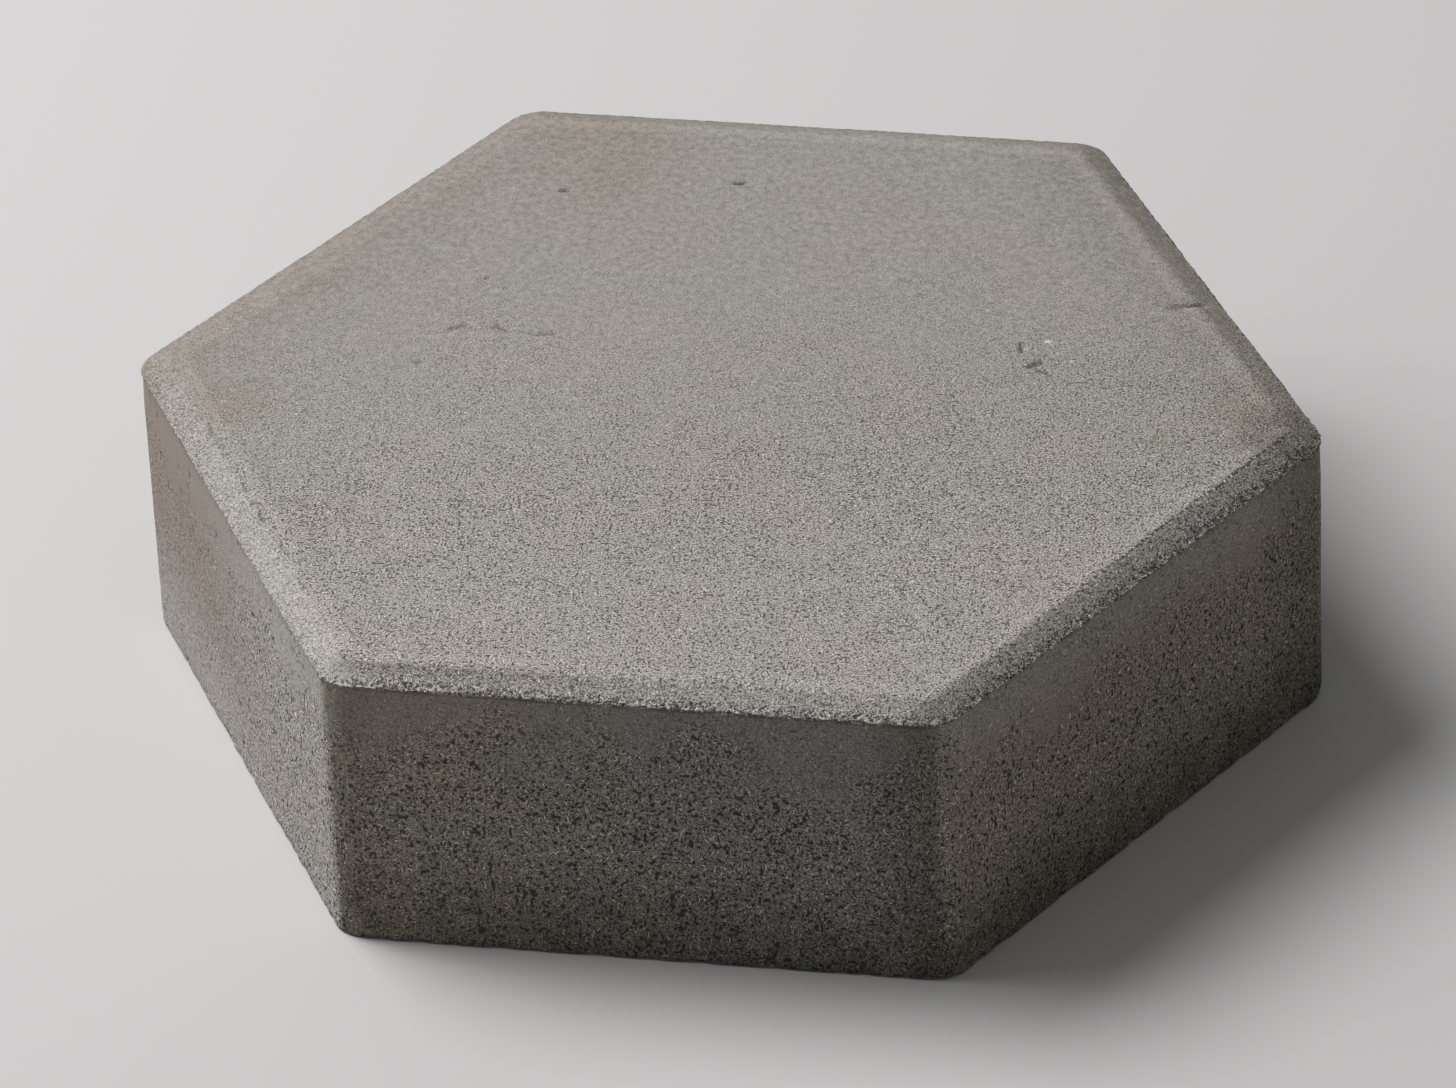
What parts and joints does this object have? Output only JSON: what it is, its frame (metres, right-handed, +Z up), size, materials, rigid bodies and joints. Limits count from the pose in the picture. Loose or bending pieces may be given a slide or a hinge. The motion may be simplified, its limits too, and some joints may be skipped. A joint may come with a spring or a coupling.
{
  "type": "hexagonal interlocking paver",
  "caption": "Hexagonal concrete paver with upright joint faces, rounded corners and a bevelled wearing face, laid in a bed with others of its size to make paths and drives.",
  "frame": {"origin": "centre of the bedding face, on the ground", "axes": "+Z up, out of the wearing face; +X through a pair of opposite corners; +Y square to a pair of opposite joint faces"},
  "size_m": [0.2262, 0.198, 0.06],
  "materials": {
    "concrete": "matte pressed concrete, fine sandy grain with small open pores"
  },
  "bodies": {
    "root": {"paver": "concrete"}
  },
  "joints": []
}
